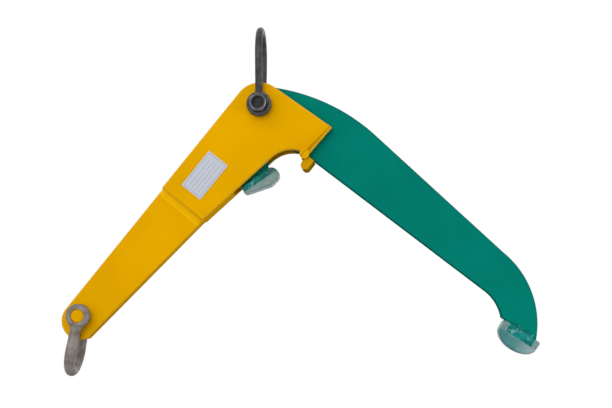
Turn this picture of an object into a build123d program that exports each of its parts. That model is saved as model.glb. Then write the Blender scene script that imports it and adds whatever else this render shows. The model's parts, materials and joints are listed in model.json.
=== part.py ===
"""Cylinder lifting clamp: a lever between two cheeks, a swinging leg with pads, a bow and a shackle.

The origin is where a hook bears inside the bow's crown. +X runs towards the leg's tip, +Z is up, and
the front of the clamp faces -Y. Sketches lie in the clamp's own plane, centred on the round of the head.
"""
import os
from math import acos, asin, atan2, cos, degrees, hypot, radians, sin, sqrt

from build123d import *

os.makedirs("parts", exist_ok=True)

# Layers across the clamp
bar_thick = 20.0
cheek_thick = 8.0
leg_thick = 16.0
side_play = 0.1
running_fit = 0.05
close_fit = 0.02

# Slopes in the clamp's plane, in degrees
lever_slope = 51.1
leg_slope = 37.6
brow_slope = 35.7
arm_foot_slope = 34.4
shackle_lean = 9.6
lip_fold = 46.0

# Cheeks and the mouth between lever and leg
hub_r = 28.4
bolt_rise = 3.5
cheek_reach = 135.0
cheek_step_width = 57.3
brow_length = 77.0
mouth_centre = (35.0, -80.0)
mouth_r = 33.5
mouth_start = 57.0
mouth_end = 133.0

# Lever bar and its shackle hole
bar_end_along = 304.5
bar_end_r = 20.9
bar_end_turn = 61.0
bar_hub_gap = 4.0
shackle_along = 300.5
shackle_across = -11.4

# Beads, lips, stop bar and data plate
step_weld = 5.0
bead_r = 7.0
lip_thick = 7.0
lip_root_thick = 1.2
lip_corner_thick = 2.6
lip_root = 73.0
lip_back = 4.6
nose_back = 7.9
nose_drop = 0.9
nose_r = 5.2
nose_thick = 3.0
stop_width = 9.4
stop_height = 14.4
stop_along = 78.2
stop_gap = 0.3
plate_length = 48.0
plate_width = 26.5
plate_thick = 0.6
plate_inset = 40.0

# Leg, measured along and across its own slope
leg_hub_r = 26.0
root_r = 212.6
taper_start = (112.0, 54.3)
taper_end = (305.0, 35.6)
heel_mid = (355.0, 20.0)
leg_under = -9.6
under_start = 72.0
toe_run = 34.4
toe_hollow = 3.8
sole_start = (346.4, -21.9)
sole_length = 43.2
sole_rise = 4.4

# Short arm of the leg
crotch_centre = (27.0, -62.0)
crotch_r = 19.0
crotch_start = 55.0
crotch_wall = 4.0
arm_foot_start = (-20.0, -87.5)
arm_foot_length = 35.0

# Bush and washers in the leg's hub
bush_r = 9.0
washer_r = 15.0

# Edges of the cut plates
edge_bevel = 1.0
cheek_bevel = 1.4
edge_break = 0.8

# Pads and their backing plates
arm_plate_thick = 5.4
tip_plate_thick = 9.6
tip_plate_length = 31.0
tip_middle = 26.0
pad_plate_depth = 23.0
pad_depth = 25.0
pad_gap = 0.2
pad_weld = 3.0
weld_inset = 2.0

# Arm pad, each place measured along its foot and out from it
toe_r = 8.0
toe_place = (35.2, 6.4)
ball_r = 4.0
ball_place = (28.4, 11.6)
heel_r = 2.0
heel_place = (1.4, 6.0)
arm_pad_bevel = 1.0

# Tip pad
tip_pad_half = 22.2
tip_dome = 14.0
tip_dome_start = 9.0
tip_ear = 1.5
ear_round = 4.0
tip_pad_bevel = 2.0

# Hanging bow and its bolt
bail_reach = 81.5
bail_bar_r = 4.0
bail_eye_r = 13.5
bail_eye_thick = 9.0
bail_half = 28.5
bail_side_gap = 0.3
bail_eye_bevel = 2.0
bolt_r = 6.0
hex_flats = 19.0
bolt_head = 7.5
nut_height = 7.0
collar_height = 3.0
collar_r = 8.9
collar_bevel = 1.0
bolt_recess = 2.0

# End shackle and its pin
bow_bar_r = 5.9
bow_eye_r = 12.8
bow_eye_thick = 12.2
bow_half = 20.5
bow_reach = 55.4
bow_side_gap = 0.5
bow_eye_bevel = 2.0
pin_r = 7.5
pin_head_r = 10.5
pin_head = 5.0
pin_recess = 1.0
grip_length = 18.0
grip_width = 17.0
grip_thick = 7.0
grip_round = 5.0
grip_hole_r = 4.0

# Positions that follow from the sizes above
gap_half = bar_thick / 2
head_half = gap_half + cheek_thick
eye_inner = head_half + bail_side_gap
eye_outer = eye_inner + bail_eye_thick
bow_eye_inner = gap_half + bow_side_gap
bow_eye_outer = bow_eye_inner + bow_eye_thick
pivot_bore = bolt_r + running_fit
pin_bore = pin_r + running_fit
hex_corner_r = hex_flats / sqrt(3)
sides = {"front": 1, "rear": -1}

pivot_z = -bail_reach
hub_z = pivot_z - bolt_rise
pivot_plane = Plane(origin=(0, 0, pivot_z), x_dir=(1, 0, 0), z_dir=(0, -1, 0))
clamp_plane = Plane(origin=(0, 0, hub_z), x_dir=(1, 0, 0), z_dir=(0, -1, 0))


def turned(angle):
    """Cosine and sine of an angle in degrees."""
    return cos(radians(angle)), sin(radians(angle))


def lever_point(along, across):
    """A point measured from the hub down the lever, and across it towards the mouth."""
    c, s = turned(lever_slope)
    return (across * s - along * c, -along * s - across * c)


def leg_point(along, across):
    """A point measured from the hub down the leg, and across it towards its back."""
    c, s = turned(leg_slope)
    return (along * c + across * s, across * c - along * s)


def mouth_point(angle):
    """A point on the mouth's arch."""
    c, s = turned(angle)
    return (mouth_centre[0] + mouth_r * c, mouth_centre[1] + mouth_r * s)


def plane_at(point, slope):
    """A plane in the clamp at a sketch point, with its x axis rising at a slope."""
    c, s = turned(slope)
    return Plane(origin=(point[0], 0, hub_z + point[1]), x_dir=(c, 0, s), z_dir=(0, -1, 0))


def bow_line(eye_middle, foot, half, shoulder):
    """Centre line of a bow: straight legs that splay from the eyes, and a round crown that meets both."""
    rise = shoulder - foot
    far = hypot(eye_middle, rise)
    splay = degrees(asin(half / far) - atan2(eye_middle, rise))
    leg = PolarLine((-eye_middle, foot), sqrt(far**2 - half**2), 90 + splay)
    crown = JernArc(leg @ 1, leg % 1, half, -180 - 2 * splay)
    Line(crown @ 1, (eye_middle, foot))


step_left = lever_point(cheek_reach, -hub_r)
step_right = lever_point(cheek_reach, cheek_step_width - hub_r)
hub_left = lever_point(0, -hub_r)
brow_c, brow_s = turned(brow_slope)
brow_start = (hub_r * brow_s, hub_r * brow_c)
brow_corner = (brow_start[0] + brow_length * brow_c, brow_start[1] - brow_length * brow_s)
shackle_centre = lever_point(shackle_along, shackle_across)
nose_centre = leg_point(stop_along - nose_back, leg_under - nose_drop)


def out_from_cheek(point, side, height):
    """A sketch point in space, at a height over a cheek's outer face."""
    return Vector(point[0], -side * (head_half + height), hub_z + point[1])


arm_c, arm_s = turned(arm_foot_slope)
arm_foot_end = (arm_foot_start[0] + arm_foot_length * arm_c, arm_foot_start[1] + arm_foot_length * arm_s)
sole_c, sole_s = turned(sole_rise)
sole_end = (sole_start[0] + sole_length * sole_c, sole_start[1] + sole_length * sole_s)
arm_plane = plane_at(arm_foot_start, arm_foot_slope)
tip_plane = plane_at(leg_point(*sole_start), sole_rise - leg_slope)

# Flat bar of the lever
with BuildPart() as lever_bar:
    with BuildSketch(clamp_plane):
        with BuildLine():
            end_left = lever_point(bar_end_along, -hub_r)
            end_far = lever_point(bar_end_along + bar_end_r, bar_end_r - hub_r)
            turn_c, turn_s = turned(bar_end_turn)
            end_right = lever_point(bar_end_along + bar_end_r * turn_c, bar_end_r * (1 + turn_s) - hub_r)
            Line(hub_left, end_left)
            ThreePointArc(end_left, end_far, end_right)
            Polyline(end_right, step_right, mouth_point(mouth_end), hub_left)
        make_face()
    extrude(amount=gap_half, both=True)
    split(bisect_by=Plane.YZ.offset(-leg_hub_r - bar_hub_gap), keep=Keep.BOTTOM)
    chamfer(lever_bar.faces().filter_by(Axis.Y).edges(), edge_bevel)
    with BuildSketch(clamp_plane):
        with Locations(shackle_centre):
            Circle(pin_bore)
    extrude(amount=gap_half, both=True, mode=Mode.SUBTRACT)
lever_bar.part.label = "lever_bar"
export_step(lever_bar.part, "parts/lever_bar.step")

# Cheek plates with the arched mouth
for name, side in sides.items():
    with BuildPart() as cheek:
        with BuildSketch(clamp_plane.offset(side * gap_half)):
            with BuildLine():
                Line(step_left, hub_left)
                CenterArc((0, 0), hub_r, 90 - brow_slope, brow_slope + lever_slope)
                Polyline(brow_start, brow_corner, mouth_point(mouth_start))
                CenterArc(mouth_centre, mouth_r, mouth_start, mouth_end - mouth_start)
                Polyline(mouth_point(mouth_end), step_right, step_left)
            make_face()
        extrude(amount=side * cheek_thick)
        outer_face = cheek.faces().sort_by(Axis((0, 0, 0), (0, side, 0)))[0]
        chamfer(outer_face.edges(), cheek_bevel)
        with BuildSketch(pivot_plane.offset(side * gap_half)):
            Circle(pivot_bore)
        extrude(amount=side * cheek_thick, mode=Mode.SUBTRACT)
    cheek.part.label = f"{name}_cheek"
    export_step(cheek.part, f"parts/{name}_cheek.step")

# Fillet beads where the cheeks end on the bar
lever_c, lever_s = turned(lever_slope)
for name, side in sides.items():
    bead_plane = Plane(
        origin=(step_left[0], -side * gap_half, hub_z + step_left[1]),
        x_dir=(-lever_c, 0, -lever_s),
        z_dir=(lever_s, 0, -lever_c),
    )
    with BuildPart() as step_bead:
        with BuildSketch(bead_plane):
            with BuildLine():
                Polyline((step_weld, 0), (0, 0), (0, -side * step_weld))
                RadiusArc((0, -side * step_weld), (step_weld, 0), -side * bead_r)
            make_face()
        extrude(amount=cheek_step_width)
    step_bead.part.label = f"{name}_step_weld"
    export_step(step_bead.part, f"parts/{name}_step_weld.step")

# Lips flared out from the cheeks with a bevelled rim, each down to a round nose that holds the stop bar
for name, side in sides.items():
    with BuildPart() as lip:
        with BuildSketch(clamp_plane.offset(side * head_half)):
            with BuildLine():
                brow_back = (brow_corner[0] - lip_back * brow_c, brow_corner[1] + lip_back * brow_s)
                Polyline(brow_back, brow_corner, nose_centre)
                CenterArc(nose_centre, nose_r, 0, 360)
            make_hull()
        extrude(amount=side * lip_thick)
        corner = out_from_cheek(brow_corner, side, lip_corner_thick)
        root = out_from_cheek(mouth_point(lip_root), side, lip_root_thick)
        rim = out_from_cheek(mouth_point(mouth_start), side, lip_thick)
        outward = (root - corner).cross(rim - corner).normalized() * side
        split(bisect_by=Plane(origin=corner, z_dir=outward), keep=Keep.BOTTOM)
        foot = out_from_cheek(brow_corner, side, 0)
        foot_way = (out_from_cheek(mouth_point(mouth_start), side, 0) - foot).normalized()
        front = Vector(0, -side, 0)
        aside = front.cross(foot_way) * side
        fold_c, fold_s = turned(lip_fold)
        fold_plane = Plane(origin=foot - aside * cheek_bevel, z_dir=front * fold_c + aside * fold_s)
        split(bisect_by=fold_plane, keep=Keep.BOTTOM)
        with BuildSketch(clamp_plane.offset(side * head_half)):
            with Locations(nose_centre):
                Circle(nose_r)
        extrude(amount=side * nose_thick)
    lip.part.label = f"{name}_lip"
    export_step(lip.part, f"parts/{name}_lip.step")

# Stop bar between the two noses, which the leg's underside rests on
with BuildPart() as stop_bar:
    stop_plane = plane_at(leg_point(stop_along, leg_under - stop_gap), -leg_slope)
    with BuildSketch(stop_plane):
        with Locations((0, -stop_height + stop_width / 2)):
            Circle(stop_width / 2)
            Rectangle(stop_width, stop_height - stop_width / 2, align=(Align.CENTER, Align.MIN))
    extrude(amount=head_half, both=True)
stop_bar.part.label = "stop_bar"
export_step(stop_bar.part, "parts/stop_bar.step")

# Bare data plate on the front cheek
with BuildPart() as data_plate:
    plate_plane = plane_at(lever_point(cheek_reach - plate_inset, 0), lever_slope).offset(head_half)
    with BuildSketch(plate_plane):
        RectangleRounded(plate_length, plate_width, edge_break)
    extrude(amount=plate_thick)
data_plate.part.label = "data_plate"
export_step(data_plate.part, "parts/data_plate.step")

# Leg plate with hub, long arm, foot and short arm
with BuildPart() as leg_plate:
    with BuildSketch(clamp_plane):
        with BuildLine():
            root_gap = root_r - leg_hub_r
            taper_far = hypot(*taper_start)
            root_turn = degrees(acos((taper_far**2 + root_gap**2 - root_r**2) / (2 * taper_far * root_gap)))
            hub_turn = 180 - root_turn + degrees(atan2(taper_start[1], taper_start[0])) - leg_slope
            foot_turn = 360 + degrees(atan2(arm_foot_start[1], arm_foot_start[0]))
            back_turn = foot_turn - degrees(acos(leg_hub_r / hypot(*arm_foot_start)))
            hub_arc = CenterArc((0, 0), leg_hub_r, hub_turn, back_turn - hub_turn)
            RadiusArc(hub_arc @ 0, leg_point(*taper_start), root_r)
            Line(leg_point(*taper_start), leg_point(*taper_end))
            ThreePointArc(leg_point(*taper_end), leg_point(*heel_mid), leg_point(*sole_end))
            Line(leg_point(*sole_end), leg_point(*sole_start))
            under_end = leg_point(sole_start[0] - toe_run, leg_under)
            SagittaArc(leg_point(*sole_start), under_end, -toe_hollow)
            crotch_c, crotch_s = turned(crotch_start)
            crotch_right = (crotch_centre[0] + crotch_r * crotch_c, crotch_centre[1] + crotch_r * crotch_s)
            Polyline(under_end, leg_point(under_start, leg_under), crotch_right)
            CenterArc(crotch_centre, crotch_r, crotch_start, 180 - crotch_start)
            crotch_left = (crotch_centre[0] - crotch_r, crotch_centre[1])
            crotch_foot = (crotch_left[0], crotch_left[1] - crotch_wall)
            Polyline(crotch_left, crotch_foot, arm_foot_end, arm_foot_start, hub_arc @ 1)
        make_face()
    extrude(amount=leg_thick / 2, both=True)
    chamfer(leg_plate.faces().filter_by(Axis.Y).edges(), edge_bevel)
    with BuildSketch(pivot_plane):
        Circle(bush_r + close_fit)
    extrude(amount=leg_thick / 2, both=True, mode=Mode.SUBTRACT)
leg_plate.part.label = "leg_plate"
export_step(leg_plate.part, "parts/leg_plate.step")

# Bush in the leg's hub
with BuildPart() as leg_bush:
    with BuildSketch(pivot_plane):
        Circle(bush_r)
        Circle(pivot_bore, mode=Mode.SUBTRACT)
    extrude(amount=leg_thick / 2, both=True)
leg_bush.part.label = "leg_bush"
export_step(leg_bush.part, "parts/leg_bush.step")

# Thrust washers between the hub and the cheeks
for name, side in sides.items():
    with BuildPart() as washer:
        with BuildSketch(pivot_plane.offset(side * leg_thick / 2)):
            Circle(washer_r)
            Circle(pivot_bore, mode=Mode.SUBTRACT)
        extrude(amount=side * (gap_half - leg_thick / 2 - side_play))
    washer.part.label = f"{name}_washer"
    export_step(washer.part, f"parts/{name}_washer.step")

# Backing plates of the two pads, with a bead along each side of the leg
pad_plates = {
    "arm": (arm_plane, 0, arm_foot_length, arm_plate_thick),
    "tip": (tip_plane, tip_middle - tip_plate_length / 2, tip_plate_length, tip_plate_thick),
}
for name, (plane, start, length, thick) in pad_plates.items():
    with BuildPart() as pad_plate:
        with BuildSketch(plane):
            with Locations((start, -thick)):
                Rectangle(length, thick, align=(Align.MIN, Align.MIN))
        extrude(amount=pad_plate_depth / 2, both=True)
    pad_plate.part.label = f"{name}_pad_plate"
    export_step(pad_plate.part, f"parts/{name}_pad_plate.step")

    with BuildPart() as pad_beads:
        for side in sides.values():
            bead_start = plane.origin + plane.x_dir * (start + weld_inset)
            leg_side = side * leg_thick / 2
            bead_side = leg_side + side * pad_weld
            with BuildSketch(Plane(origin=bead_start, x_dir=plane.z_dir, z_dir=plane.x_dir)):
                with BuildLine():
                    Polyline((leg_side, -pad_weld), (leg_side, 0), (bead_side, 0), close=True)
                make_face()
            extrude(amount=length - 2 * weld_inset)
    pad_beads.part.label = f"{name}_pad_welds"
    export_step(pad_beads.part, f"parts/{name}_pad_welds.step")


def outer_rims(pad, plane, depth):
    """Edges of a pad's front and rear faces that lie further out than a depth."""
    rims = pad.faces().filter_by(Axis.Y).edges()
    return rims.filter_by(lambda edge: plane.to_local_coords(edge.center()).Y < -depth - pad_gap)


# Pad of the short arm: a wedge with a round toe that wraps the plate's end
with BuildPart() as arm_pad:
    with BuildSketch(arm_plane):
        with BuildLine():
            for (along, out), r in ((toe_place, toe_r), (ball_place, ball_r), (heel_place, heel_r)):
                CenterArc((along, -out), r, 0, 360)
        make_hull()
        with Locations((arm_foot_length + pad_gap, -arm_plate_thick)):
            Rectangle(2 * arm_foot_length, toe_r * 2, align=(Align.MAX, Align.MIN), mode=Mode.SUBTRACT)
    extrude(amount=pad_depth / 2, both=True)
    chamfer(outer_rims(arm_pad, arm_plane, arm_plate_thick), arm_pad_bevel)
arm_pad.part.label = "arm_pad"
export_step(arm_pad.part, "parts/arm_pad.step")

# Pad of the tip: a dome with ears over both ends of its plate
with BuildPart() as tip_pad:
    with BuildSketch(tip_plane) as tip_pad_sketch:
        with Locations((tip_middle, -tip_dome_start)):
            Ellipse(tip_pad_half, tip_dome)
            Rectangle(2 * tip_pad_half, tip_dome, align=(Align.CENTER, Align.MIN), mode=Mode.SUBTRACT)
        with Locations((tip_middle, -tip_ear)):
            Rectangle(2 * tip_pad_half, tip_dome_start - tip_ear, align=(Align.CENTER, Align.MAX))
        ear_corners = tip_pad_sketch.vertices().group_by(Axis.Y)[-1]
        fillet(ear_corners, ear_round)
        pocket = tip_plate_length + 2 * pad_gap
        with Locations((tip_middle, -tip_plate_thick)):
            Rectangle(pocket, tip_plate_thick, align=(Align.CENTER, Align.MIN), mode=Mode.SUBTRACT)
    extrude(amount=pad_depth / 2, both=True)
    chamfer(outer_rims(tip_pad, tip_plane, tip_plate_thick), tip_pad_bevel)
tip_pad.part.label = "tip_pad"
export_step(tip_pad.part, "parts/tip_pad.step")

# Hanging bow: eyes outside the cheeks, and a round bar bent to a wide crown
with BuildPart() as lifting_bail:
    for side in sides.values():
        with BuildSketch(pivot_plane.offset(side * eye_inner)):
            Circle(bail_eye_r)
        extrude(amount=side * bail_eye_thick)
    chamfer(lifting_bail.edges().filter_by(GeomType.CIRCLE), bail_eye_bevel)
    with BuildLine(Plane(origin=(0, 0, pivot_z), x_dir=(0, 1, 0), z_dir=(1, 0, 0))) as bail_path:
        bail_shoulder = bail_reach + bail_bar_r - bail_half
        bow_line((eye_inner + eye_outer) / 2, hex_corner_r, bail_half, bail_shoulder)
    with BuildSketch(Plane(origin=bail_path.line @ 0, x_dir=(0, 1, 0), z_dir=bail_path.line % 0)):
        Circle(bail_bar_r)
    sweep(path=bail_path.line)
    with BuildSketch(pivot_plane):
        Circle(pivot_bore)
    extrude(amount=eye_outer, both=True, mode=Mode.SUBTRACT)
lifting_bail.part.label = "lifting_bail"
export_step(lifting_bail.part, "parts/lifting_bail.step")

# Bolt with its head on the rear eye
nut_top = eye_outer + nut_height + collar_height
with BuildPart() as pivot_bolt:
    with BuildSketch(pivot_plane.offset(-eye_outer)):
        RegularPolygon(hex_flats / 2, 6, major_radius=False)
    extrude(amount=-bolt_head)
    with BuildSketch(pivot_plane.offset(-eye_outer)):
        Circle(bolt_r)
    extrude(amount=eye_outer + nut_top - bolt_recess)
    chamfer(pivot_bolt.edges().filter_by(GeomType.CIRCLE).sort_by(Axis.Y)[0], edge_break)
pivot_bolt.part.label = "pivot_bolt"
export_step(pivot_bolt.part, "parts/pivot_bolt.step")

# Lock nut on the front eye, with a round collar
with BuildPart() as pivot_nut:
    with BuildSketch(pivot_plane.offset(eye_outer)):
        RegularPolygon(hex_flats / 2, 6, major_radius=False)
    extrude(amount=nut_height)
    with BuildSketch(pivot_plane.offset(eye_outer + nut_height)):
        Circle(collar_r)
    extrude(amount=collar_height)
    chamfer(pivot_nut.edges().filter_by(GeomType.CIRCLE).sort_by(Axis.Y)[0], collar_bevel)
    with BuildSketch(pivot_plane.offset(eye_outer)):
        Circle(bolt_r + close_fit)
    extrude(amount=nut_height + collar_height, mode=Mode.SUBTRACT)
pivot_nut.part.label = "pivot_nut"
export_step(pivot_nut.part, "parts/pivot_nut.step")

# Shackle bow at the lever's end
lean_c, lean_s = turned(shackle_lean)
shackle_plane = Plane(
    origin=(shackle_centre[0], 0, hub_z + shackle_centre[1]),
    x_dir=(0, 1, 0),
    z_dir=(-lean_c, 0, lean_s),
)
pin_plane = Plane(origin=shackle_plane.origin, x_dir=(lean_c, 0, -lean_s), z_dir=(0, -1, 0))
with BuildPart() as shackle_bow:
    for side in sides.values():
        with BuildSketch(pin_plane.offset(side * bow_eye_inner)):
            Circle(bow_eye_r)
        extrude(amount=side * bow_eye_thick)
    chamfer(shackle_bow.edges().filter_by(GeomType.CIRCLE), bow_eye_bevel)
    with BuildLine(shackle_plane) as bow_path:
        bow_shoulder = bow_reach + bow_bar_r - bow_half
        bow_line((bow_eye_inner + bow_eye_outer) / 2, pin_bore + bow_bar_r / 2, bow_half, bow_shoulder)
    with BuildSketch(Plane(origin=bow_path.line @ 0, x_dir=(0, 1, 0), z_dir=bow_path.line % 0)):
        Circle(bow_bar_r)
    sweep(path=bow_path.line)
    with BuildSketch(pin_plane):
        Circle(pin_bore)
    extrude(amount=bow_eye_outer, both=True, mode=Mode.SUBTRACT)
shackle_bow.part.label = "shackle_bow"
export_step(shackle_bow.part, "parts/shackle_bow.step")

# Screw pin with a collar and a flat grip behind the rear eye
with BuildPart() as shackle_pin:
    with BuildSketch(pin_plane.offset(bow_eye_outer - pin_recess)):
        Circle(pin_r)
    extrude(amount=pin_recess - 2 * bow_eye_outer)
    chamfer(shackle_pin.edges().sort_by(Axis.Y)[0], edge_break)
    with BuildSketch(pin_plane.offset(-bow_eye_outer)):
        Circle(pin_head_r)
    extrude(amount=-pin_head)
    with BuildSketch(shackle_plane):
        with Locations((bow_eye_outer + pin_head, 0)):
            Rectangle(grip_length, grip_width, align=(Align.MIN, Align.CENTER))
    extrude(amount=grip_thick / 2, both=True)
    grip_end = shackle_pin.faces().sort_by(Axis.Y)[-1]
    fillet(grip_end.edges().filter_by(Axis((0, 0, 0), shackle_plane.z_dir)), grip_round)
    with BuildSketch(shackle_plane):
        with Locations((bow_eye_outer + pin_head + grip_length / 2, 0)):
            Circle(grip_hole_r)
    extrude(amount=grip_thick, both=True, mode=Mode.SUBTRACT)
shackle_pin.part.label = "shackle_pin"
export_step(shackle_pin.part, "parts/shackle_pin.step")
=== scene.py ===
# %% [markdown]
# # Dressing a lifting clamp
# The clamp hangs from a dark bow. A yellow lever and a green leg turn on the bolt under that bow, and two
# moulded pads grip the load between them. The packed model already has every plate, pin and joint in its
# place, so this lesson adds what the solids leave out: paint, forged and galvanised steel, weld beads with
# their ripples, the webs at the shackle's eyes, and pads that let some light through. First the frame is
# loaded, and its box is kept.

import json
import math
from collections import namedtuple

import bpy
import numpy as np
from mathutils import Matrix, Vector


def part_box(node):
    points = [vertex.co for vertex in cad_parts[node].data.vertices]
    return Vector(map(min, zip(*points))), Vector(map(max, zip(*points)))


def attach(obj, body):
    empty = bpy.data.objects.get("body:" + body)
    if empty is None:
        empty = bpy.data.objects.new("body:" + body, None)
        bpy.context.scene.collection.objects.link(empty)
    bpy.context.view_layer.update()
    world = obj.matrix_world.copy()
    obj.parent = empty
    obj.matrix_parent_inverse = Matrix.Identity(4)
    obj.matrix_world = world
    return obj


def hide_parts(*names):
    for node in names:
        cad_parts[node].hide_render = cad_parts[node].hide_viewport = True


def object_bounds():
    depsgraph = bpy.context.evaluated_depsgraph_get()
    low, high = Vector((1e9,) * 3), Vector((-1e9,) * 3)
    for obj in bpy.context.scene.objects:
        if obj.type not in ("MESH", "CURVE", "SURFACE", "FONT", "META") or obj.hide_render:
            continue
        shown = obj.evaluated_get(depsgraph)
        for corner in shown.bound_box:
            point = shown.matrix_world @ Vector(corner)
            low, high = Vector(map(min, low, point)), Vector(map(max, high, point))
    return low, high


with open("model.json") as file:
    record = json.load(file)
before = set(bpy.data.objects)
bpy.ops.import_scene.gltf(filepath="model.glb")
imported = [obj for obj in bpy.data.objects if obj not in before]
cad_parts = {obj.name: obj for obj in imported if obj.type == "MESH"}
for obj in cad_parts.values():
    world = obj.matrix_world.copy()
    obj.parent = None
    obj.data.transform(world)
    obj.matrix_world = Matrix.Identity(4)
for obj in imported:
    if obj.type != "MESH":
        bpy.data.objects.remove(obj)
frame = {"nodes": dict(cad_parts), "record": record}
nodes = frame["nodes"]
cad_low, cad_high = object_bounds()
MM = 0.001
print("nodes", len(nodes), "box in mm", [round(x / MM, 1) for x in (cad_high - cad_low)])

# %% [markdown]
# ## Where things are
# A new piece has to sit on the plate that carries it. Instead of typing its place again, the plate's own
# vertices tell where it is: the long direction of a flat bar is the first principal axis of its points.
# That gives each plate a small frame of its own, with "along" its length and "out" of its lower face.

# %% Local frames of the plates
SAME_POINT = 5  # decimals, in metres, to which two vertices of one place agree


def points_of(name):
    """The vertices of a CAD node, one row each."""
    flat = np.empty(len(nodes[name].data.vertices) * 3, np.float32)
    nodes[name].data.vertices.foreach_get("co", flat)
    return flat.reshape(-1, 3).astype(float)


class Seat:
    """A flat bar's own frame in the clamp's plane: a corner, the way along it and out of its lower face.

    The way along is the first principal axis of its points, and the way out is that axis turned by a quarter.
    """

    def __init__(self, name):
        spots = np.unique(np.round(points_of(name), SAME_POINT), axis=0)
        flat = spots[:, [0, 2]]
        middle = (flat.min(0) + flat.max(0)) / 2
        turn = np.linalg.svd(flat - flat.mean(0))[2][0]
        turn = turn * np.sign(turn[0])
        ways = np.array([turn, (turn[1], -turn[0])])
        reach = (flat - middle) @ ways.T
        self.length, self.thick = np.ptp(reach, axis=0)
        self.along, self.out = np.insert(ways, 1, 0, axis=1)
        start = middle + reach.min(0) @ ways
        mid_depth = (spots[:, 1].min() + spots[:, 1].max()) / 2
        self.corner = np.array([start[0], mid_depth, start[1]])

    def at(self, along, out, depth):
        """Points in the frame of the clamp, for arrays of places along, out of and across the bar."""
        along, out, depth = np.broadcast_arrays(along, out, depth)
        ways = np.array([self.along, self.out, (0.0, 1.0, 0.0)])
        return self.corner + np.stack([along, out, depth], axis=-1) @ ways


arm_seat = Seat("arm_pad_plate")
tip_seat = Seat("tip_pad_plate")
for name, seat in (("arm", arm_seat), ("tip", tip_seat)):
    print(name, "plate", round(seat.length / MM, 2), "x", round(seat.thick / MM, 2), "mm")

# %% [markdown]
# ## From arrays to meshes
# Each new piece is a grid of points: rows go along the piece and columns go round it. A closed loop of
# columns makes a tube. The first and last rows are closed like a zip, the first half of the loop against the
# second half, which also works for a loop that is bent like a U. The faces are worked out as whole arrays,
# so a bead with thousands of points costs one call. A tube that would come out with its faces pointing
# inwards is turned round first.

# %% Grid to mesh
CREASE = math.radians(40)  # faces that meet at more than this keep a sharp edge


def tube_faces(rows, columns):
    """Quads between neighbouring rows of a tube, with the last column joined to the first."""
    r, c = np.meshgrid(np.arange(rows - 1), np.arange(columns), indexing="ij")
    here, right = r * columns + c, r * columns + (c + 1) % columns
    return np.stack([here, right, right + columns, here + columns], axis=-1).reshape(-1, 4)


def zip_faces(columns):
    """Quads that close a loop: each point of its first half faces the point as far from the loop's end."""
    k = np.arange(columns // 2 - 1)
    return np.stack([k, k + 1, columns - 2 - k, columns - 1 - k], axis=1)


def closed_faces(rows, columns):
    """All quads of a closed tube: its walls, and both ends zipped up."""
    ends = zip_faces(columns)
    return np.concatenate([tube_faces(rows, columns), ends[:, ::-1], ends + (rows - 1) * columns])


def outward(grid):
    """The tube with its loops turned round where its faces point inwards, which makes its volume negative.

    The volume is a sixth of the sum of a . (b x c) over its triangles, measured from its middle.
    """
    spots = (grid - grid.mean((0, 1))).reshape(-1, 3)
    a, b, c, d = np.moveaxis(spots[closed_faces(*grid.shape[:2])], 1, 0)
    volume = (a * np.cross(b, c) + a * np.cross(c, d)).sum() / 6
    return grid if volume > 0 else grid[:, ::-1]


def tubes_to_piece(name, tubes, body, stands_for=None):
    """One mesh piece from several closed tubes, each an array of rows by columns by three."""
    spots, faces, base = [], [], 0
    for grid in map(outward, tubes):
        spots.append(grid.reshape(-1, 3))
        faces.append(closed_faces(*grid.shape[:2]) + base)
        base += len(spots[-1])
    mesh = bpy.data.meshes.new(name)
    mesh.from_pydata(np.concatenate(spots).tolist(), [], np.concatenate(faces).tolist())
    mesh.update()
    mesh.polygons.foreach_set("use_smooth", np.ones(len(mesh.polygons), bool))
    mesh.set_sharp_from_angle(angle=CREASE)
    piece = bpy.data.objects.new(name, mesh)
    bpy.context.scene.collection.objects.link(piece)
    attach(piece, body)
    if stands_for:
        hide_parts(stands_for)
    print(name, len(mesh.vertices), "points", len(mesh.polygons), "faces")
    return piece


print("a closed tube of 3 rows and 8 columns has", len(closed_faces(3, 8)), "faces")

# %% [markdown]
# ## The two pads
# Each pad is moulded onto its steel plate, with a rounded working face and ears or a toe that hold the
# plate's ends. Its outline is the hull of a few circles and half an oval. A hull has a short formula: in each
# direction, take the shape that reaches furthest, and go to its edge. Where the outline crosses the plate it
# is left open, and as many points go back along the plate's walls. That U is carried across the pad, and its
# outer half is drawn in at both ends, which rounds the rims.

# %% Outline of a pad
AROUND = 360  # directions in which a hull is worked out
TINY = 1e-9  # stands in for nought, so that no direction loses its length
# The sizes are in mm. Places are measured along the plate and out of it, from its corner.
OUTLINE_STEP = 0.3
TOE = ((35.2, 6.4, 8.0), (28.4, 11.6, 4.0), (1.4, 6.0, 2.0))  # circles: along, out, radius
TIP_HALF = 22.2  # half the tip pad's length
DOME_FROM, DOME_DROP = 9.0, 14.0  # where its half oval starts, and how deep that is
EAR_FROM, EAR_ROUND = 0.1, 2.4  # where an ear's edge starts, and its radius
POCKET_GAP = 0.2  # play at the plate's ends
NUDGE = 0.2  # keeps the walls' ends off the outline


def furthest(circles, dome=None):
    """Hull of circles and of half an oval: in each direction, the edge point of what reaches furthest."""
    turn = np.linspace(0, 2 * np.pi, AROUND, endpoint=False)
    way = np.stack([np.cos(turn), np.sin(turn)], axis=1)
    edges = [np.array(c[:2]) + c[2] * way for c in circles]
    if dome is not None:
        middle, half, drop = dome
        stretch = np.array([half, drop])
        down = np.stack([way[:, 0], np.maximum(way[:, 1], TINY)], axis=1)
        edges.append(np.array(middle) + down * stretch**2 / np.linalg.norm(down * stretch, axis=1)[:, None])
    reach = np.stack([np.einsum("ij,ij->i", e, way) for e in edges])
    return np.stack(edges)[reach.argmax(0), np.arange(AROUND)]


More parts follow.
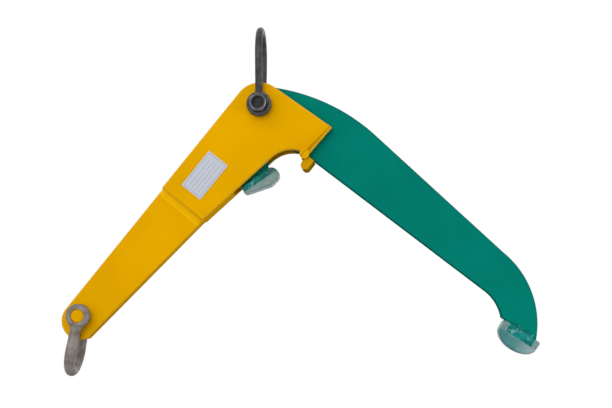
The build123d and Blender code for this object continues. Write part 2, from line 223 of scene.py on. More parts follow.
def evened(line):
    """A closed line walked again in even steps: its points are read off at equal distances along it."""
    loop = np.vstack([line, line[:1]])
    walked = np.concatenate([[0], np.cumsum(np.linalg.norm(np.diff(loop, axis=0), axis=1))])
    places = np.linspace(0, walked[-1], int(walked[-1] / OUTLINE_STEP), endpoint=False)
    return np.stack([np.interp(places, walked, loop[:, k]) for k in range(2)], axis=1)


def opened(line, first, last, depth):
    """Opens an outline over the plate: what is left of it, and as many points back along the plate's walls.

    A corner of the walls faces the outer point that reaches furthest on its diagonal. An outline that ends
    level with the plate's lower face has no wall at its heel.
    """
    over = (line[:, 0] > first) & (line[:, 0] < last) & (line[:, 1] < depth)
    start = np.flatnonzero(over & ~np.roll(over, -1))[0] + 1
    outer = np.roll(line, -start, axis=0)[~np.roll(over, -start)]
    end_along = np.clip(outer[[0, -1], 0], first, last)
    end_out = outer[[0, -1], 1] + NUDGE
    heel = max(first, outer[-1, 0] + NUDGE)
    corners = [(end_along[0], end_out[0]), (last, depth), (heel, depth), (end_along[1], end_out[1])]
    spots = [0, (outer @ (1, 1)).argmax(), (outer @ (-1, 1)).argmax(), len(outer) - 1]
    if outer[-1, 1] > depth - NUDGE:
        corners, spots = corners[:3], [spots[0], spots[1], spots[3]]
    inner = [np.interp(np.arange(len(outer)), spots, side) for side in zip(*corners)]
    return outer, np.stack(inner, axis=1)


# A pocket is where its plate starts, where it ends and how thick it is. The arm's is open at the heel.
arm_pocket = (-2 * TOE[0][0], arm_seat.length / MM + POCKET_GAP, arm_seat.thick / MM)
tip_pocket = (-POCKET_GAP, tip_seat.length / MM + POCKET_GAP, tip_seat.thick / MM)
tip_middle = tip_seat.length / MM / 2
ear_at = TIP_HALF - EAR_ROUND
ears = [(tip_middle + side * ear_at, EAR_FROM + EAR_ROUND, EAR_ROUND) for side in (-1, 1)]
tip_dome = ((tip_middle, DOME_FROM), TIP_HALF, DOME_DROP)
arm_section = opened(evened(furthest(TOE)), *arm_pocket)
tip_section = opened(evened(furthest(ears, tip_dome)), *tip_pocket)
print("arm section", len(arm_section[0]), "points, tip section", len(tip_section[0]), "points")

# %% Pads carried across
PAD_HALF_DEPTH = 12.5
RIM_STEPS = 12
MIDDLE_STEPS = 7
CROWN = 0.25  # how far the working face bulges
ARM_RIMS = (1.0, 3.2)  # radius of the rims at the heel and at the toe
TIP_RIMS = (2.4, 2.4)
RIM_BY_PLATE = 0.2  # share of that radius level with the plate's upper face


def away_from(pocket, line):
    """Distance of each point from the plate's rectangle, nought on its walls."""
    first, last, depth = pocket
    beside = np.maximum(np.maximum(first - line[:, 0], line[:, 0] - last), 0)
    return np.hypot(beside, np.maximum(line[:, 1] - depth, 0))


def pad(name, seat, section, pocket, rims, node):
    """Carries a section across the pad, with its outer half drawn in along a quarter circle near each end.

    The circle's radius grows along the pad, from its heel to its toe. It is small beside the plate, and
    nought at the pocket.
    """
    outer, inner = section
    ahead = np.gradient(outer, axis=0)
    inward = np.stack([-ahead[:, 1], ahead[:, 0]], axis=1) / np.linalg.norm(ahead, axis=1)[:, None]
    rim = np.interp(outer[:, 0], (outer[:, 0].min(), outer[:, 0].max()), rims)
    rim = rim * np.interp(outer[:, 1], (0, pocket[2]), (RIM_BY_PLATE, 1))
    free = np.clip(away_from(pocket, outer) / rim, 0, 1)
    quarter = np.linspace(0, np.pi / 2, RIM_STEPS)[:, None]
    end = PAD_HALF_DEPTH - rim * (1 - np.cos(quarter))
    middle = np.linspace(-1, 1, MIDDLE_STEPS + 2)[1:-1, None] * (PAD_HALF_DEPTH - rim)
    depth = np.vstack([-end, middle, end[::-1]])
    drawn = rim * (1 - np.sin(quarter)) * free
    drawn = np.vstack([drawn, 0 * middle, drawn[::-1]]) - CROWN * free * (1 - (depth / PAD_HALF_DEPTH) ** 2)
    rings = outer + drawn[..., None] * inward
    walls = np.broadcast_to(inner[::-1], rings.shape)
    loops = np.concatenate([rings, walls], axis=1) * MM
    depth = np.concatenate([depth, depth[:, ::-1]], axis=1) * MM
    grid = seat.at(loops[..., 0], loops[..., 1], depth)
    piece = tubes_to_piece(name, [grid], "leg", node)
    return piece


arm_piece = pad("arm_pad_moulded", arm_seat, arm_section, arm_pocket, ARM_RIMS, "arm_pad")
tip_piece = pad("tip_pad_moulded", tip_seat, tip_section, tip_pocket, TIP_RIMS, "tip_pad")

# %% [markdown]
# ## Weld beads
# A fillet weld looks like a row of overlapping coins: the pool freezes in steps, and each step leaves a
# curved ripple that lags behind at the sides. The bead is a section between two faces, carried along the
# seam. A wave along the seam, delayed towards the section's edges, gives the ripples, and the ends run out
# round. The beads of the lever are hollow and nearly smooth under the paint, and those of the pads are
# rougher.

# %% Rippled bead
BEAD_STEP = 0.2  # mm along the seam
BEAD_ACROSS = 15
RIPPLE_LAG = 0.45  # pitches by which a ripple lags at the faces
RIPPLE_ROUND = 0.6  # power that makes the coins round with narrow grooves
WANDER = (0.37, 0.91, 0.23)  # radians per mm of three slow waves that vary the size
BLUNT = 0.02  # distance from an end, as a share of the bead's height, at which it stops shrinking
BeadStyle = namedtuple("BeadStyle", "pitch ripple wobble hollow spread")
STEP_STYLE = BeadStyle(pitch=2.6, ripple=0.012, wobble=0.008, hollow=2.3, spread=1.7)
PAD_STYLE = BeadStyle(pitch=2.2, ripple=0.1, wobble=0.045, hollow=1.3, spread=1.0)


def bead(start, along, up, out, length, leg, style):
    """A bead in the corner of two faces, with coin ripples that lag towards both faces.

    Its style is the ripples' pitch and share, the wobble of its size, the power of sine and cosine that makes
    its section, and how much wider than high it is. A power of 1 is a quarter circle, 2 is straight, and more
    is hollow. At its ends the size follows a quarter circle.
    """
    steps = np.arange(0, length, BEAD_STEP)
    turn = np.linspace(0, np.pi / 2, BEAD_ACROSS)
    lag = RIPPLE_LAG * np.cos(2 * turn) ** 2
    wave = np.abs(np.sin(np.pi * (steps[:, None] / style.pitch - lag))) ** RIPPLE_ROUND
    slow, quick, drift = (steps * rate for rate in WANDER)
    wander = style.wobble * (np.sin(slow) + np.sin(quick + 2 * np.sin(drift)))
    near_end = np.clip(np.minimum(steps, length - steps) / leg, BLUNT, 1)
    size = leg * np.sqrt(1 - (1 - near_end) ** 2) * (1 + wander)
    swell = size[:, None] * (1 + style.ripple * (wave - 1) * np.sin(2 * turn) ** 0.5)
    rise = swell * np.cos(turn) ** style.hollow
    reach = swell * style.spread * np.sin(turn) ** style.hollow
    rise, reach = (np.hstack([side, np.zeros((len(steps), 1))]) for side in (rise, reach))
    walk = steps[:, None, None] * along
    return start + (walk + rise[..., None] * up + reach[..., None] * out) * MM


def step_seam(side):
    """The bead where a cheek ends on the bar, from the solid bead's own points."""
    spots = points_of(f"{side}_step_weld")
    seat = Seat(f"{side}_step_weld")
    away = np.array([0, -1.0 if side == "front" else 1.0, 0])
    start = sum((spots @ way).min() * way for way in (seat.along, away, seat.out))
    span, leg = np.ptp(spots @ seat.along), np.ptp(spots @ away)
    return bead(start, seat.along, away, seat.out, span / MM, leg / MM, STEP_STYLE)


def pad_seams(seat, solid):
    """Beads on both faces of the leg, where a pad's plate stands on it."""
    spots = points_of(solid)
    reach = (spots - seat.corner) @ seat.along
    inner, outer = np.abs(spots[:, 1]).min(), np.abs(spots[:, 1]).max()
    span, leg = np.ptp(reach) / MM, (outer - inner) / MM
    seams = []
    for away in np.array([(0, -1.0, 0), (0, 1.0, 0)]):
        start = seat.corner + reach.min() * seat.along + inner * away
        seams.append(bead(start, seat.along, -seat.out, away, span, leg, PAD_STYLE))
    return seams


step_beads = []
for side in ("front", "rear"):
    seam = [step_seam(side)]
    made = tubes_to_piece(f"{side}_step_bead", seam, "lever_frame", f"{side}_step_weld")
    step_beads.append(made)
plate_beads = []
for name, seat in (("arm", arm_seat), ("tip", tip_seat)):
    seams = pad_seams(seat, f"{name}_pad_welds")
    made = tubes_to_piece(f"{name}_plate_bead", seams, "leg", f"{name}_pad_welds")
    plate_beads.append(made)

# %% [markdown]
# ## Necks of the shackle
# The eyes of a forged shackle aren't rings set on its legs: each leg widens into its eye along a hollow
# curve. The solid has a plain ring, so a web is added on both sides. It is an ellipse carried down the leg,
# and its half width follows an arc that touches the eye's round and the leg's side, both a little below their
# surfaces.

# %% Webs from eye to leg
EYE_ROUND = 12.7  # mm, as are the next three
LEG_ROUND = 5.8
NECK_HOLLOW = 16.0  # radius of the hollow arc
NECK_MIDDLE = 16.3  # from the clamp's middle to the leg's, beside the eye
NECK_SPLAY = 0.13  # how far the leg leans out for each mm down
NECK_STEPS = 24
NECK_AROUND = 48


def neck(side, eye, down):
    """A web below an eye: an ellipse whose half width is the leg's, plus what an arc beside the leg leaves.

    The arc's middle lies as far out as both radii together, and as far down as Pythagoras gives for an arc
    that touches the eye's circle.
    """
    low = math.sqrt((EYE_ROUND + NECK_HOLLOW) ** 2 - (LEG_ROUND + NECK_HOLLOW) ** 2)
    drop = np.linspace(low * EYE_ROUND / (EYE_ROUND + NECK_HOLLOW), low, NECK_STEPS)[:, None]
    wide = LEG_ROUND + NECK_HOLLOW - np.sqrt(NECK_HOLLOW**2 - (low - drop) ** 2)
    turn = np.linspace(0, 2 * np.pi, NECK_AROUND, endpoint=False)
    away = side * (NECK_MIDDLE + NECK_SPLAY * (drop - drop[0])) + LEG_ROUND * np.sin(turn)
    across = np.array([-down[2], 0, down[0]])
    local = np.stack(np.broadcast_arrays(drop, wide * np.cos(turn), away), axis=-1)
    return eye + local @ np.array([down, across, (0, 1, 0)]) * MM


swing = next(row for row in frame["record"]["behaviour"]["joints"] if row["name"] == "end_shackle_swing")
crown = next(row for row in frame["record"]["mounts"] if row["name"] == "end_shackle_crown")
webs = [neck(side, np.array(swing["pos_m"]), np.array(crown["axis"])) for side in (-1, 1)]
necks = tubes_to_piece("shackle_necks", webs, "end_shackle")

# %% [markdown]
# ## Shader maths as plain Python
# A material in Blender is a graph, but most of what it says is arithmetic. A small class wraps an output
# socket, so that `1 - mask` or `grain * 0.2` adds the Math nodes by itself. Every other node comes from one
# method, which sets the node's settings first and then its inputs, by value or by link. On top of these, a
# finish is one material, with the patterns that several of them share.

# %% Sockets as values


class Wire:
    """An output socket that Python's operators work on."""

    def __init__(self, graph, socket):
        self.graph, self.socket = graph, socket

    def math(self, operation, *others, first=None):
        """A Math node with this value first, or after another value where the order is turned round."""
        values = [self, *others] if first is None else [first, self]
        return self.graph.node("ShaderNodeMath", {"operation": operation}, dict(enumerate(values)))

    def __add__(self, other):
        return self.math("ADD", other)

    def __mul__(self, other):
        return self.math("MULTIPLY", other)

    def __sub__(self, other):
        return self.math("SUBTRACT", other)

    def __rsub__(self, other):
        return self.math("SUBTRACT", first=other)

    def __lt__(self, other):
        return self.math("LESS_THAN", other)

    def __gt__(self, other):
        return self.math("GREATER_THAN", other)

    def __abs__(self):
        return self.math("ABSOLUTE")

    __radd__, __rmul__ = __add__, __mul__

    def eased(self, low, high):
        """0 below low, 1 above high, and a smooth step between them."""
        settings = {"interpolation_type": "SMOOTHSTEP"}
        ends = {"Value": self, "From Min": low, "From Max": high, "To Min": 0.0, "To Max": 1.0}
        return self.graph.node("ShaderNodeMapRange", settings, ends)


print("a wire knows", [key for key in vars(Wire) if callable(getattr(Wire, key))])

# %% Nodes of a material or of the world


class Graph:
    """The nodes of a material or of the world, with the shader that they feed."""

    def __init__(self, owner, shader):
        owner.use_nodes = True
        self.owner, self.tree = owner, owner.node_tree
        self.shader = self.tree.nodes[shader]

    def node(self, kind, settings, values, out=0):
        """Adds a node, sets its settings and then its inputs, each a number, a tuple or a wire."""
        added = self.tree.nodes.new(kind)
        for key, value in settings.items():
            setattr(added, key, value)
        for key, value in values.items():
            self.join(added.inputs[key], value)
        return Wire(self, added.outputs[out])

    def join(self, socket, value):
        """Links a wire to an input, or sets its number."""
        if isinstance(value, Wire):
            self.tree.links.new(value.socket, socket)
        else:
            socket.default_value = value

    def feed(self, **inputs):
        """Sets the shader's inputs, with _ for the spaces in their names."""
        for key, value in inputs.items():
            self.join(self.shader.inputs[key.replace("_", " ")], value)

    def mix(self, share, one, other):
        """Mixes two colours, each a tuple or a wire."""
        return self.node("ShaderNodeMix", {"data_type": "RGBA"}, {0: share, 6: one, 7: other}, 2)

    def shown(self):
        """1 for rays that show the room itself: to the camera, in a reflection or through something clear."""
        kinds = ("Is Camera Ray", "Is Glossy Ray", "Is Transmission Ray")
        camera, glossy, clear = (self.node("ShaderNodeLightPath", {}, {}, kind) for kind in kinds)
        return (camera + glossy + clear).math("MINIMUM", 1.0)


print("a graph knows", [key for key in vars(Graph) if not key.startswith("_")])

# %% Patterns that the finishes share
BEVELLED = (0.2, 0.55)  # from hardly slanted to a full bevel


class Finish(Graph):
    """A material with one Principled shader, and the surface patterns that feed it."""

    def __init__(self, name, **plain):
        super().__init__(bpy.data.materials.new(name), "Principled BSDF")
        self.feed(**plain)
        self.place = self.node("ShaderNodeTexCoord", {}, {}, "Object")

    def noise(self, size, detail=2.0, roughness=0.5, stretch=(1.0, 1.0, 1.0)):
        """Noise from 0 to 1 with grains of about a size in metres."""
        turned = self.node("ShaderNodeMapping", {}, {"Vector": self.place, "Scale": stretch})
        values = {"Vector": turned, "Scale": 1 / size, "Detail": detail, "Roughness": roughness}
        return self.node("ShaderNodeTexNoise", {}, values)

    def along(self, start, way):
        """Distance in metres from a point, along a direction."""
        gone = self.node("ShaderNodeVectorMath", {"operation": "SUBTRACT"}, {0: self.place, 1: tuple(start)})
        return self.node("ShaderNodeVectorMath", {"operation": "DOT_PRODUCT"}, {0: gone, 1: tuple(way)}, 1)

    def bump(self, height, distance, strength):
        """Feeds the shader's normal with a height."""
        values = {"Height": height, "Distance": distance, "Strength": strength}
        self.feed(Normal=self.node("ShaderNodeBump", {}, values))

    def bevelled_edge(self):
        """1 on the bevels of a plate's edges, and 0 on its faces and on its flat rims."""
        normal = self.node("ShaderNodeNewGeometry", {}, {}, "Normal")
        sideways = abs(self.node("ShaderNodeSeparateXYZ", {}, {0: normal}, "Y"))
        return (1 - abs(sideways * 2 - 1)).eased(*BEVELLED)


print("a finish adds", [key for key in vars(Finish) if not key.startswith("_")])

# %% [markdown]
# ## Paint
# The plates are powder coated: an even, slightly pebbled skin that thins over sharp edges. Cloudy noise a few
# centimetres wide shifts the tone by a few percent, and finer noise gives the pebbled bump. The lever's
# bevelled edges are a little paler, partly from thinner paint and partly a painted highlight, and they shine,
# with a few small chips down to grey primer. Those of the lips and the leg are darker, a painted shade. The
# yellow weld beads are painted lighter, a painted light, and the green ones darker, a painted shade in their
# crevices, with painted glints. The plates near the green beads are paler and mottled, a painted sheen with
# painted glints. The stop bar gets a deeper yellow, a painted shade.

# %% Powder coats
PRIMER = (0.22, 0.21, 0.19, 1)
# A pale teal for painted glints, small highlights on the green beads and plates.
PAINTED_GLINT_TONE = (0.22, 0.5, 0.48, 1)
# The tones of each paint: deep in the clouds, the body colour, and the tone on its bevelled edges. That is
# paler on the lever, partly thinner paint and partly a painted highlight, and darker on the lips and the leg,
# a painted shade.
YELLOWS = ((0.73, 0.365, 0.0005, 1), (0.79, 0.395, 0.0005, 1), (0.8, 0.46, 0.01, 1))
LIP_YELLOWS_PAINTED_SHADE = ((0.73, 0.365, 0.0005, 1), (0.79, 0.395, 0.0005, 1), (0.2, 0.08, 0.0005, 1))
# The step beads are a lighter yellow than the plates: painted light, on beads that face downwards.
BEAD_YELLOWS_PAINTED_LIGHT = ((0.92, 0.49, 0.003, 1), (0.97, 0.53, 0.003, 1), (0.97, 0.53, 0.003, 1))
# The stop bar's deeper yellow is a painted shade.
STOP_YELLOWS_PAINTED_SHADE = ((0.45, 0.235, 0.002, 1), (0.58, 0.3, 0.002, 1), (0.55, 0.29, 0.002, 1))
GREENS_WITH_PAINTED_EDGE_SHADE = ((0.001, 0.178, 0.136, 1), (0.001, 0.2, 0.155, 1), (0.001, 0.03, 0.025, 1))
# The pad beads' darker green is a painted shade in their crevices.
BEAD_GREENS_PAINTED_SHADE = ((0.001, 0.09, 0.075, 1), (0.001, 0.16, 0.125, 1), (0.001, 0.16, 0.125, 1))
# The plates near the beads are a paler, mottled green: a painted sheen.
PLATE_GREENS_PAINTED_SHEEN = ((0.001, 0.1, 0.095, 1), (0.003, 0.26, 0.23, 1), (0.003, 0.26, 0.23, 1))
# Grains in metres: uneven spots, the pebbled skin, chips and painted glints.
SPECK, PEBBLE, CHIP, GLINT = 0.004, 0.0013, 0.006, 0.0056
# The noise at which clouds, chips and painted glints begin, and at which they are full.
CLOUDED, CHIPPED, GLINTING = (0.3, 0.7), (0.66, 0.7), (0.54, 0.74)
# The edge tone is partly thinner paint and partly a painted highlight on the lever, and a painted shade on
# the lips and the leg.
EDGE_TONE_SHARE = 0.3  # share of the thin tone on an edge
COAT_ROUGH = 0.2


def powder_coat(
    name, tones, cloud_size=0.07, gloss=0.0, dull=0.38, rim_gloss=0.0, lumps=0.00012, painted_glints=0.0
):
    """Three tones of one paint: deep in the clouds, the body colour, and one on the bevelled edges, which can
    be thinner paint or painted light and shade.

    Edges that shine also have a few chips, and small soft bright spots can be painted on as glints.
    """
    deep, body, edge_tone = tones
    coat = Finish(name, Specular_IOR_Level=gloss, Coat_Roughness=COAT_ROUGH)
    cloud = coat.noise(cloud_size, 3.0).eased(*CLOUDED)
    speck = coat.noise(SPECK)
    pebble = coat.noise(PEBBLE)
    edge = coat.bevelled_edge()
    tone = coat.mix(cloud, deep, body)
    # The bevels take the edge tone: painted highlight and thinner paint, or painted shade.
    tone = coat.mix(edge * EDGE_TONE_SHARE, tone, edge_tone)
    rough = dull + speck * 0.12
    if rim_gloss:
        chip = coat.noise(CHIP, 4.0, 0.6).eased(*CHIPPED) * edge * rim_gloss
        tone = coat.mix(chip, tone, PRIMER)
        rough = rough + chip * 0.3
        coat.feed(Coat_Weight=edge * rim_gloss)
    if painted_glints:
        # Painted glints: small soft pale spots that stand for highlights.
        tone = coat.mix(coat.noise(GLINT, 1.0).eased(*GLINTING) * painted_glints, tone, PAINTED_GLINT_TONE)
    coat.feed(Base_Color=tone, Roughness=rough)
    coat.bump(pebble * 0.3 + speck * 0.7, lumps, 0.5)
    return coat.owner


# The lever's paler edges are partly thinner paint and partly a painted highlight.
yellow = powder_coat("yellow_powder_coat", YELLOWS, rim_gloss=0.35)
# The lips' darker bevels are a painted shade.
lip_yellow_painted_shade = powder_coat("yellow_coat_on_lips_painted_shade", LIP_YELLOWS_PAINTED_SHADE)
# Painted light: the step beads are a lighter yellow.
bead_yellow_painted_light = powder_coat("yellow_coat_on_beads_painted_light", BEAD_YELLOWS_PAINTED_LIGHT)
# Painted shade: the stop bar is a deeper, dimmer yellow.
stop_yellow_painted_shade = powder_coat("stop_yellow_coat_painted_shade", STOP_YELLOWS_PAINTED_SHADE, cloud_size=0.012, dull=0.45)
# The leg's darker bevels are a painted shade.
green = powder_coat("green_powder_coat", GREENS_WITH_PAINTED_EDGE_SHADE)
# Painted shade: the pad beads are a darker green, with painted glints.
green_bead_painted_shade = powder_coat(
    "green_coat_on_beads_painted_shade_and_glints", BEAD_GREENS_PAINTED_SHADE, cloud_size=0.006, gloss=0.12, dull=0.12, lumps=0.0005, painted_glints=0.8
)
# Painted sheen: paler, mottled green on the plates near the beads, with painted glints.
green_plate_painted_sheen = powder_coat(
    "green_coat_near_beads_painted_sheen", PLATE_GREENS_PAINTED_SHEEN, cloud_size=0.008, gloss=0.08, dull=0.16, lumps=0.0006, painted_glints=0.7
)
paints = (yellow, lip_yellow_painted_shade, bead_yellow_painted_light, stop_yellow_painted_shade, green, green_bead_painted_shade, green_plate_painted_sheen)
print("paints", [paint.name for paint in paints])

# %% [markdown]
# ## Steel
# The hanging bow is forged and left dark, and the rims of its eye and of the nut carry a painted highlight.
# The end shackle is hot-dip galvanised and has gone dull and warm. Scale and weathered zinc scatter most of
# the light, so they are given little or no metal, and only the bush and the washers are bare metal. All share
# one
# recipe: blotches of two tones, a roughness that follows them, and a lumpy bump.

# %% Forged and galvanised steel
# The pale tone of the rings of painted highlight on the rims of the bow's eye and the nut's collar.
PAINTED_RIM_HIGHLIGHT = (0.42, 0.42, 0.48, 1)
BLACKS = ((0.03, 0.028, 0.031, 1), (0.07, 0.066, 0.075, 1))
# A darker black for the nut and the bolt.
DEEPER_BLACKS = ((0.006, 0.006, 0.006, 1), (0.02, 0.02, 0.021, 1))
ZINCS = ((0.145, 0.117, 0.095, 1), (0.275, 0.245, 0.23, 1))
BRASSES = ((0.42, 0.3, 0.12, 1), (0.6, 0.45, 0.2, 1))
GREYS = ((0.3, 0.3, 0.31, 1), (0.45, 0.45, 0.46, 1))
BLOTCH, LUMP = 6, 10  # sizes in grains


def forged(name, tones, grain, dull, dent, metal=0.0, gloss=0.5, highlight_rings=()):
    """Blotches of two tones, a fine grain and shallow dents, with rings of painted highlight round a cross
    axis.

    A ring is given by its centre, radius, half width and share of brightness. It fades with the distance
    from its circle, as a share of the half width.
    """
    steel = Finish(name, Metallic=metal, Specular_IOR_Level=gloss)
    blotch = steel.noise(grain * BLOTCH, 4.0, 0.6).eased(*CLOUDED)
    fine = steel.noise(grain, 3.0, 0.6)
    lump = steel.noise(grain * LUMP)
    tone = steel.mix(blotch, *tones)
    for centre, radius, width, share in highlight_rings:
        u, v = steel.along(centre, (1, 0, 0)), steel.along(centre, (0, 0, 1))
        ring = abs((u * u + v * v).math("SQRT") - radius) * (1 / width)
        tone = steel.mix((1 - ring).eased(0.0, 0.8) * (0.3 + blotch * 0.7) * share, tone, PAINTED_RIM_HIGHLIGHT)
    steel.feed(Base_Color=tone, Roughness=dull + fine * 0.25 - blotch * 0.1)
    steel.bump(lump * 0.7 + fine * 0.3, dent, 0.6)
    return steel.owner


nut_low, nut_high = (np.array(side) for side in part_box("pivot_nut"))
pivot = (nut_low + nut_high) / 2
# Rings of painted highlight on the eye's rim and on the nut's collar.
eye_rim = (pivot, 11.8 * MM, 0.8 * MM, 0.25)
collar_rim = (pivot, 8.5 * MM, 0.7 * MM, 0.9)
black_forged = forged(
    "black_forged_steel", BLACKS, grain=0.0012, dull=0.36, dent=0.0005, gloss=0.14, highlight_rings=[eye_rim]
)
black_nut = forged("black_nut", DEEPER_BLACKS, grain=0.0008, dull=0.3, dent=0.0002, gloss=0.25, highlight_rings=[collar_rim])
black_bolt = forged("black_bolt", DEEPER_BLACKS, grain=0.0012, dull=0.4, dent=0.0006, gloss=0.15)
dull_zinc = forged("dull_galvanised_steel", ZINCS, grain=0.002, dull=0.42, dent=0.0007, metal=0.1, gloss=0.2)
bush_metal = forged("bush_metal", BRASSES, grain=0.0008, dull=0.3, dent=0.0001, metal=0.9)
plain_steel = forged("plain_steel", GREYS, grain=0.0008, dull=0.32, dent=0.0001, metal=0.9)
steels = (black_forged, black_nut, black_bolt, dull_zinc, bush_metal, plain_steel)
print("steels", [steel.name for steel in steels], "pivot in mm", (pivot / MM).round(1))

# %% [markdown]
# ## Pads
# Cast polyurethane is cloudy and lets light in, so the green plate shows faintly through it. Some of the
# light goes through, some scatters under the skin, and the skin itself is dull with fine scuffs. The pad on
# the short arm does the gripping, and is greyer with dust and wear than the one at the tip. That one is
# scuffed pale at its outer end, so each pad has a tone that comes in along its plate, and one beside the
# plate.

# %% Polyurethane
CLOUD, SCUFF = 0.012, 0.0016  # grains in metres
SCUFF_STRETCH = (1.0, 0.25, 1.0)  # scuffs run across the pad
BESIDE = (-1.5 * MM, 2.5 * MM)  # from the plate's lower face, where the tone beside the plate fades out
BESIDE_SHARE = 0.8
# The tones of each pad: two of the cloud, one that comes in along the plate, and one beside the plate.
CLEARS = ((0.06, 0.23, 0.23, 1), (0.1, 0.29, 0.295, 1), (0.31, 0.42, 0.44, 1), (0.2, 0.31, 0.3, 1))
DUSTS = ((0.21, 0.29, 0.272, 1), (0.28, 0.39, 0.38, 1), (0.17, 0.27, 0.25, 1), (0.01, 0.1, 0.075, 1))
CLEAR_FADE, DUST_FADE = (0.3, 1.2), (0.9, 1.5)


def polyurethane(name, tones, seat, fade):
    """Cloudy cast plastic: part clear, part scattering, scuffed, with other tones at an end and by the plate.

    The cloud mixes the first two tones. The third comes in between two places along the plate, given as
    shares of its length, and the fourth beside the plate.
    """
    cast = Finish(
        name,
        Transmission_Weight=0.04,
        IOR=1.45,
        Subsurface_Weight=0.6,
        Subsurface_Radius=(0.5, 1.0, 1.0),
        Subsurface_Scale=0.003,
        Specular_IOR_Level=0.05,
    )
    cloud = cast.noise(CLOUD, 3.0).eased(*CLOUDED)
    scuff = cast.noise(SCUFF, 4.0, 0.6, SCUFF_STRETCH)
    below = cast.along(seat.corner, seat.out)
    beside = 1 - below.eased(*(seat.thick + edge for edge in BESIDE))
    far = cast.along(seat.corner, seat.along).eased(*(share * seat.length for share in fade))
    tone = cast.mix(far, cast.mix(cloud, *tones[:2]), tones[2])
    tone = cast.mix(beside * BESIDE_SHARE, tone, tones[3])
    cast.feed(Base_Color=tone, Roughness=0.3 + scuff * 0.25)
    cast.bump(scuff, 0.0002, 0.4)
    return cast.owner


clear_cast = polyurethane("cloudy_polyurethane", CLEARS, tip_seat, CLEAR_FADE)
dusty_cast = polyurethane("dusty_polyurethane", DUSTS, arm_seat, DUST_FADE)
print("pads", clear_cast.name, dusty_cast.name)

# %% [markdown]
# ## Data plate
# The plate on the cheek is a thin printed sheet. It is left without words: only a frame and a few empty
# ruled lines are drawn, from the distance along and across the plate's own frame.

# %% Bare plate
FRAME_INSET, FRAME_HALF = 2 * MM, 0.25 * MM  # from the plate's edge, and half the printed line's width
LINE_PITCH = 4.2 * MM
LINE_HALF = 0.05  # as a share of the pitch
LINES_INSET = (5 * MM, 4 * MM)  # margin along and across the plate
SILVERS = ((0.34, 0.365, 0.43, 1), (0.42, 0.445, 0.51, 1))
INK, INK_SHARE = (0.12, 0.13, 0.14, 1), 0.75
BRUSHED = 0.002  # grain in metres


def ruled_plate(name, node):
    """A silvery sheet with a thin frame and empty ruled lines, placed by the plate's own middle and slope.

    A line is where the distance from it is less than half its width. The ruled lines repeat with the
    fraction of the distance across, counted in pitches.
    """
    sheet = Finish(name, Metallic=0.15, Specular_IOR_Level=0.5)
    seat = Seat(node)
    half_u, half_v = seat.length / 2, seat.thick / 2
    middle = seat.at(half_u, half_v, 0.0)
    u, v = sheet.along(middle, seat.along), sheet.along(middle, seat.out)
    frame_u = abs(abs(u) - (half_u - FRAME_INSET)) < FRAME_HALF
    frame_v = abs(abs(v) - (half_v - FRAME_INSET)) < FRAME_HALF
    margin = FRAME_INSET - FRAME_HALF
    inside = (abs(u) < half_u - margin) * (abs(v) < half_v - margin)
    lines = abs((v * (1 / LINE_PITCH)).math("FRACT") - 0.5) < LINE_HALF
    ruled = lines * (abs(u) < half_u - LINES_INSET[0]) * (abs(v) < half_v - LINES_INSET[1])
    ink = ((frame_u + frame_v) * inside + ruled).eased(0.2, 0.8)
    brushed = sheet.noise(BRUSHED, 3.0, 0.6)
    base = sheet.mix(brushed, *SILVERS)
    sheet.feed(Base_Color=sheet.mix(ink * INK_SHARE, base, INK), Roughness=0.28 + brushed * 0.15)
    return sheet.owner


plate_print = ruled_plate("ruled_silver_sheet", "data_plate")
print("plate", plate_print.name, len(plate_print.node_tree.nodes), "nodes")

# %% [markdown]
# ## Handing out the finishes
# The record names a slot for every node, so the finishes are given out by slot to the CAD nodes. A few nodes
# differ from the rest of their slot: the stop bar, the lips, the plates that the weld beads hold, and the nut
# and bolt of the pivot. The new pieces get theirs by name.

# %% Finishes by slot
finish_of = {
    "yellow_paint": yellow,
    "green_paint": green,
    "dark_steel": black_forged,
    "galvanised_steel": dull_zinc,
    "plain_steel": plain_steel,
    "bush_metal": bush_metal,
    "bare_plate": plate_print,
    "pad_rubber": clear_cast,
}
own_finish = {
    # The stop bar takes the deeper yellow of painted shade.
    "stop_bar": stop_yellow_painted_shade,
    # The lips take the finish with painted shade on their bevels.
    "front_lip": lip_yellow_painted_shade,
    "rear_lip": lip_yellow_painted_shade,
    # The pad plates take the green with a painted sheen.
    "arm_pad_plate": green_plate_painted_sheen,
    "tip_pad_plate": green_plate_painted_sheen,
    "pivot_nut": black_nut,
    "pivot_bolt": black_bolt,
}
for row in frame["record"]["subparts"]:
    mesh = nodes[row["node"]].data
    mesh.materials.clear()
    mesh.materials.append(own_finish.get(row["node"], finish_of[row["material_slot"]]))
dressed = [(arm_piece, dusty_cast), (tip_piece, clear_cast), (necks, dull_zinc)]
dressed += [(piece, bead_yellow_painted_light) for piece in step_beads] + [(piece, green_bead_painted_shade) for piece in plate_beads]
for piece, finish in dressed:
    piece.data.materials.append(finish)
print("slots", len(finish_of), "nodes of their own finish", len(own_finish), "new pieces", len(dressed))

# %% [markdown]
# ## Stage and light
# A white room: the clamp hangs over a pale floor, and the world is white to look at and softer as a lamp. One
# broad lamp stands in front on the left, a weak one fills in low on the right, a wide one hangs overhead, a
# tiny one puts a spark on rims and beads, and one behind shows the back. The floor and the world turn white
# only for the rays that show them, so they don't flood the undersides.

# %% Floor and world
FLOOR_GAP = 0.25
FLOOR_HALF = 1.6
FLOOR_GREY = (0.3, 0.3, 0.3, 1)
FLOOR_GLOW = (0.8, 0.8, 0.8, 1)
BLACK, WHITE = (0, 0, 0, 1), (1, 1, 1, 1)
ROOM_LIGHT = 0.35

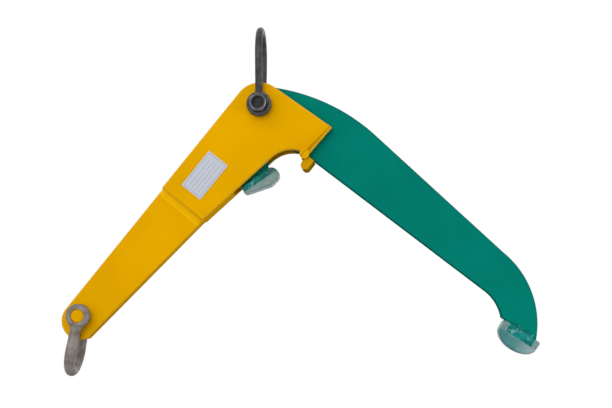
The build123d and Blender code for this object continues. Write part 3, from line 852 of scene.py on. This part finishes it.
floor_z = cad_low.z - FLOOR_GAP
corners = np.array([(-1, -1), (1, -1), (1, 1), (-1, 1)]) * FLOOR_HALF
floor_mesh = bpy.data.meshes.new("floor")
floor_mesh.from_pydata([(x, y, floor_z) for x, y in corners.tolist()], [], [(0, 1, 2, 3)])
floor = bpy.data.objects.new("floor", floor_mesh)
bpy.context.scene.collection.objects.link(floor)
pale = Finish("pale_floor", Base_Color=FLOOR_GREY, Roughness=0.9, Specular_IOR_Level=0.0)
pale.feed(Emission_Color=pale.mix(pale.shown(), BLACK, FLOOR_GLOW), Emission_Strength=1.0)
floor_mesh.materials.append(pale.owner)

bpy.context.scene.world = bpy.data.worlds.new("white_room")
room = Graph(bpy.context.scene.world, "Background")
room.feed(Color=WHITE, Strength=ROOM_LIGHT + room.shown() * (1 - ROOM_LIGHT))
print("floor at", round(floor_z, 3), "m")

# %% Lamps
target = (cad_low + cad_high) / 2


def lamp(name, place, size, power):
    """A square area lamp that points at the clamp."""
    data = bpy.data.lights.new(name, "AREA")
    data.size = size
    data.energy = power
    made = bpy.data.objects.new(name, data)
    made.location = place
    made.rotation_euler = (target - Vector(place)).to_track_quat("-Z", "Y").to_euler()
    bpy.context.scene.collection.objects.link(made)
    return made


lamps = [
    lamp("key", (-0.7, -1.8, 0.5), size=3.0, power=45),
    lamp("low_fill", (1.2, -0.3, -0.42), size=0.4, power=6),
    lamp("overhead", (0.1, 0.2, 1.3), size=1.2, power=1.5),
    lamp("spark", (-0.35, -1.6, 0.6), size=0.12, power=2),
    lamp("behind", (0.3, 1.9, 0.3), size=2.4, power=15),
]
print("lamps", [made.name for made in lamps])

# %% [markdown]
# ## Camera
# The clamp was seen from a little below its middle and slightly from the right. The camera stands there and
# looks at the middle of the picture, with a long lens.

# %% Camera
SENSOR = 36.0
LENS = 66.87
CAMERA_AT = Vector((0.1238, -1.2441, -0.2917))
AIM = Vector((0.0501, 0.0, -0.1894))
camera_data = bpy.data.cameras.new("camera")
camera_data.sensor_width = SENSOR
camera_data.lens = LENS
camera = bpy.data.objects.new("camera", camera_data)
camera.location = CAMERA_AT
camera.rotation_euler = (AIM - CAMERA_AT).to_track_quat("-Z", "Y").to_euler()
bpy.context.scene.collection.objects.link(camera)
bpy.context.scene.camera = camera
bpy.context.scene.view_settings.view_transform = "Standard"
print("camera", round((AIM - CAMERA_AT).length, 3), "m from what it looks at")
